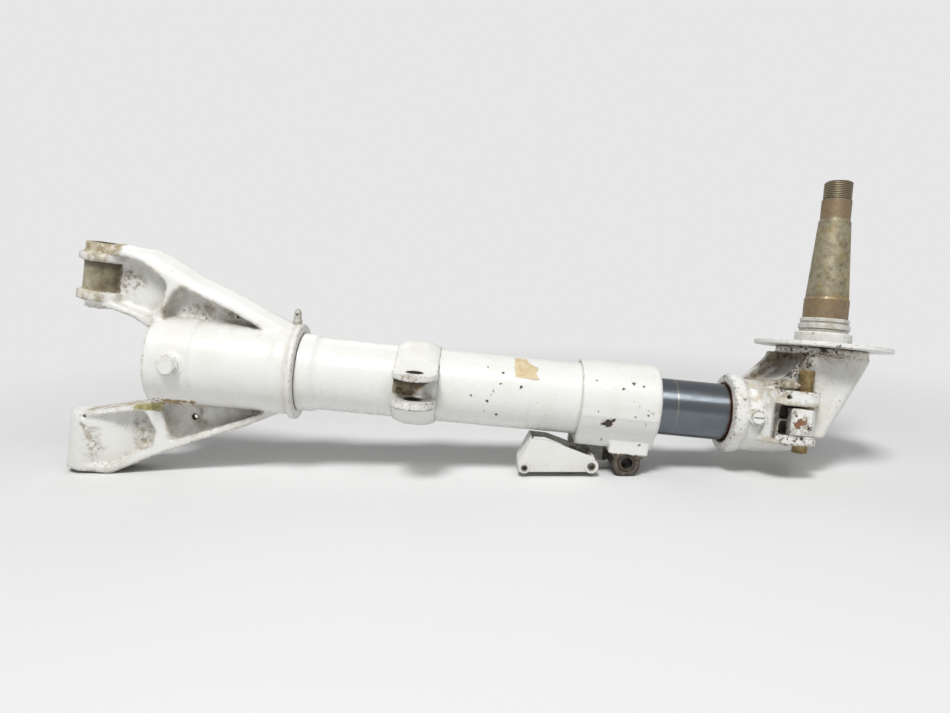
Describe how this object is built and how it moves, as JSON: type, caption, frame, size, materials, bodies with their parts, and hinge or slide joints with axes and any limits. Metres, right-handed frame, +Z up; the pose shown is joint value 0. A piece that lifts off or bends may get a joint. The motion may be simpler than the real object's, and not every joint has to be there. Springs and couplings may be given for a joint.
{
  "type": "landing gear strut",
  "caption": "Oleo landing gear strut with forked trunnion casting, clamped collars, chromed piston, elbow fitting and tapered wheel axle.",
  "frame": {"origin": "centre of the bounding box at ground level", "axes": "+X along the lying strut from the trunnion to the wheel end, +Y across it away from the brace ears, +Z up"},
  "size_m": [0.7453, 0.1336, 0.2606],
  "materials": {
    "casting_paint": "worn white paint over a casting",
    "barrel_paint": "white paint, light scratches",
    "brace_paint": "chipped white paint with rust",
    "collar_paint": "chipped white paint",
    "bracket_paint": "matt white paint",
    "fitting_paint": "rough, badly chipped white paint",
    "flange_paint": "chipped white paint",
    "ring_paint": "white paint",
    "plug_paint": "white paint",
    "painted_bolt": "white paint",
    "knuckle_paint": "white paint with a rust patch",
    "bushing_steel": "dull steel",
    "fitting_steel": "dull plated steel",
    "lug_steel": "dark oily steel",
    "fastener_steel": "plated steel",
    "inner_steel": "machined steel",
    "axle_steel": "brown stained steel",
    "ring_steel": "bright worn steel",
    "pin_steel": "brown stained steel",
    "screw_steel": "dull plated steel",
    "valve_steel": "plated steel",
    "piston_chrome": "polished hard chrome",
    "bare_aluminium": "machined",
    "valve_brass": "machined",
    "bushing_bronze": "dull bronze",
    "gland_bronze": "machined bronze",
    "valve_cap": "anodised",
    "seal_rubber": "black",
    "wiper": "black",
    "back_up_ring": "off-white"
  },
  "bodies": {
    "barrel": {"trunnion_casting": "casting_paint", "upper_arm_bushes": "bushing_steel", "lower_arm_bushes": "bushing_steel", "barrel_bolt": "painted_bolt", "barrel_bolt_washers": "painted_bolt", "barrel_bolt_nut": "painted_bolt", "grease_fitting": "fitting_steel", "barrel_tube": "barrel_paint", "barrel_end_plug": "bare_aluminium", "end_plug_seal": "seal_rubber", "filler_valve_body": "valve_brass", "filler_valve_cap": "valve_cap", "orifice_tube": "inner_steel", "orifice_plate": "inner_steel", "brace_collar": "brace_paint", "brace_ear_bushes": "bushing_bronze", "brace_collar_pins": "inner_steel", "torque_collar": "collar_paint", "torque_lug_sleeve": "lug_steel", "torque_collar_pins": "inner_steel", "door_bracket": "bracket_paint", "bracket_bushes": "bushing_steel", "bracket_bolts": "fastener_steel", "bracket_nuts": "fastener_steel", "lower_gland": "gland_bronze", "gland_inner_seal": "seal_rubber", "gland_back_up_rings": "back_up_ring", "gland_outer_seal": "seal_rubber", "gland_retaining_ring": "fastener_steel", "wiper_ring": "wiper"},
    "valve_nut": {"filler_valve_nut": "valve_steel"},
    "carrier": {"upper_bearing": "gland_bronze", "piston_ring": "back_up_ring"},
    "piston": {"piston_tube": "piston_chrome", "piston_head_nut": "inner_steel", "upper_bearing_circlip": "fastener_steel", "piston_bulkhead": "bare_aluminium", "bulkhead_seal": "seal_rubber", "metering_pin": "inner_steel", "axle_fitting": "fitting_paint", "fitting_lock_plug": "plug_paint", "axle": "axle_steel", "brake_flange": "flange_paint", "brake_flange_screws": "fastener_steel", "axle_spacer_ring": "ring_paint", "axle_seal_ring": "ring_steel", "axle_backing_ring": "ring_steel", "axle_lock_pin": "inner_steel", "torque_ear_bushes": "bushing_bronze"},
    "torque_pin": {"torque_pin": "pin_steel", "pin_retaining_screw": "screw_steel"},
    "knuckle": {"torque_knuckle": "knuckle_paint"}
  },
  "joints": [
    {"name": "piston_slide", "type": "slide", "parent": "barrel", "child": "carrier", "axis": [0.9952, 0, -0.0975], "range_m": [-0.055, 0.112]},
    {"name": "piston_turn", "type": "hinge", "parent": "carrier", "child": "piston", "pos_m": [0.21766, 0.00022, 0.05361], "axis": [0.9952, 0, -0.0975], "continuous": true},
    {"name": "torque_pin_draw", "type": "slide", "parent": "piston", "child": "torque_pin", "axis": [0.0967, 0.1305, 0.9867], "range_m": [0, 0.0105]},
    {"name": "knuckle_turn", "type": "hinge", "parent": "piston", "child": "knuckle", "pos_m": [0.2818, -0.03448, 0.05192], "axis": [0.0967, 0.1305, 0.9867], "range_deg": [-8, 25]},
    {"name": "valve_nut_turn", "type": "hinge", "parent": "barrel", "child": "valve_nut", "pos_m": [-0.27675, 0.00022, 0.11462], "axis": [0.9952, 0, -0.0975], "range_deg": [0, 300]}
  ]
}
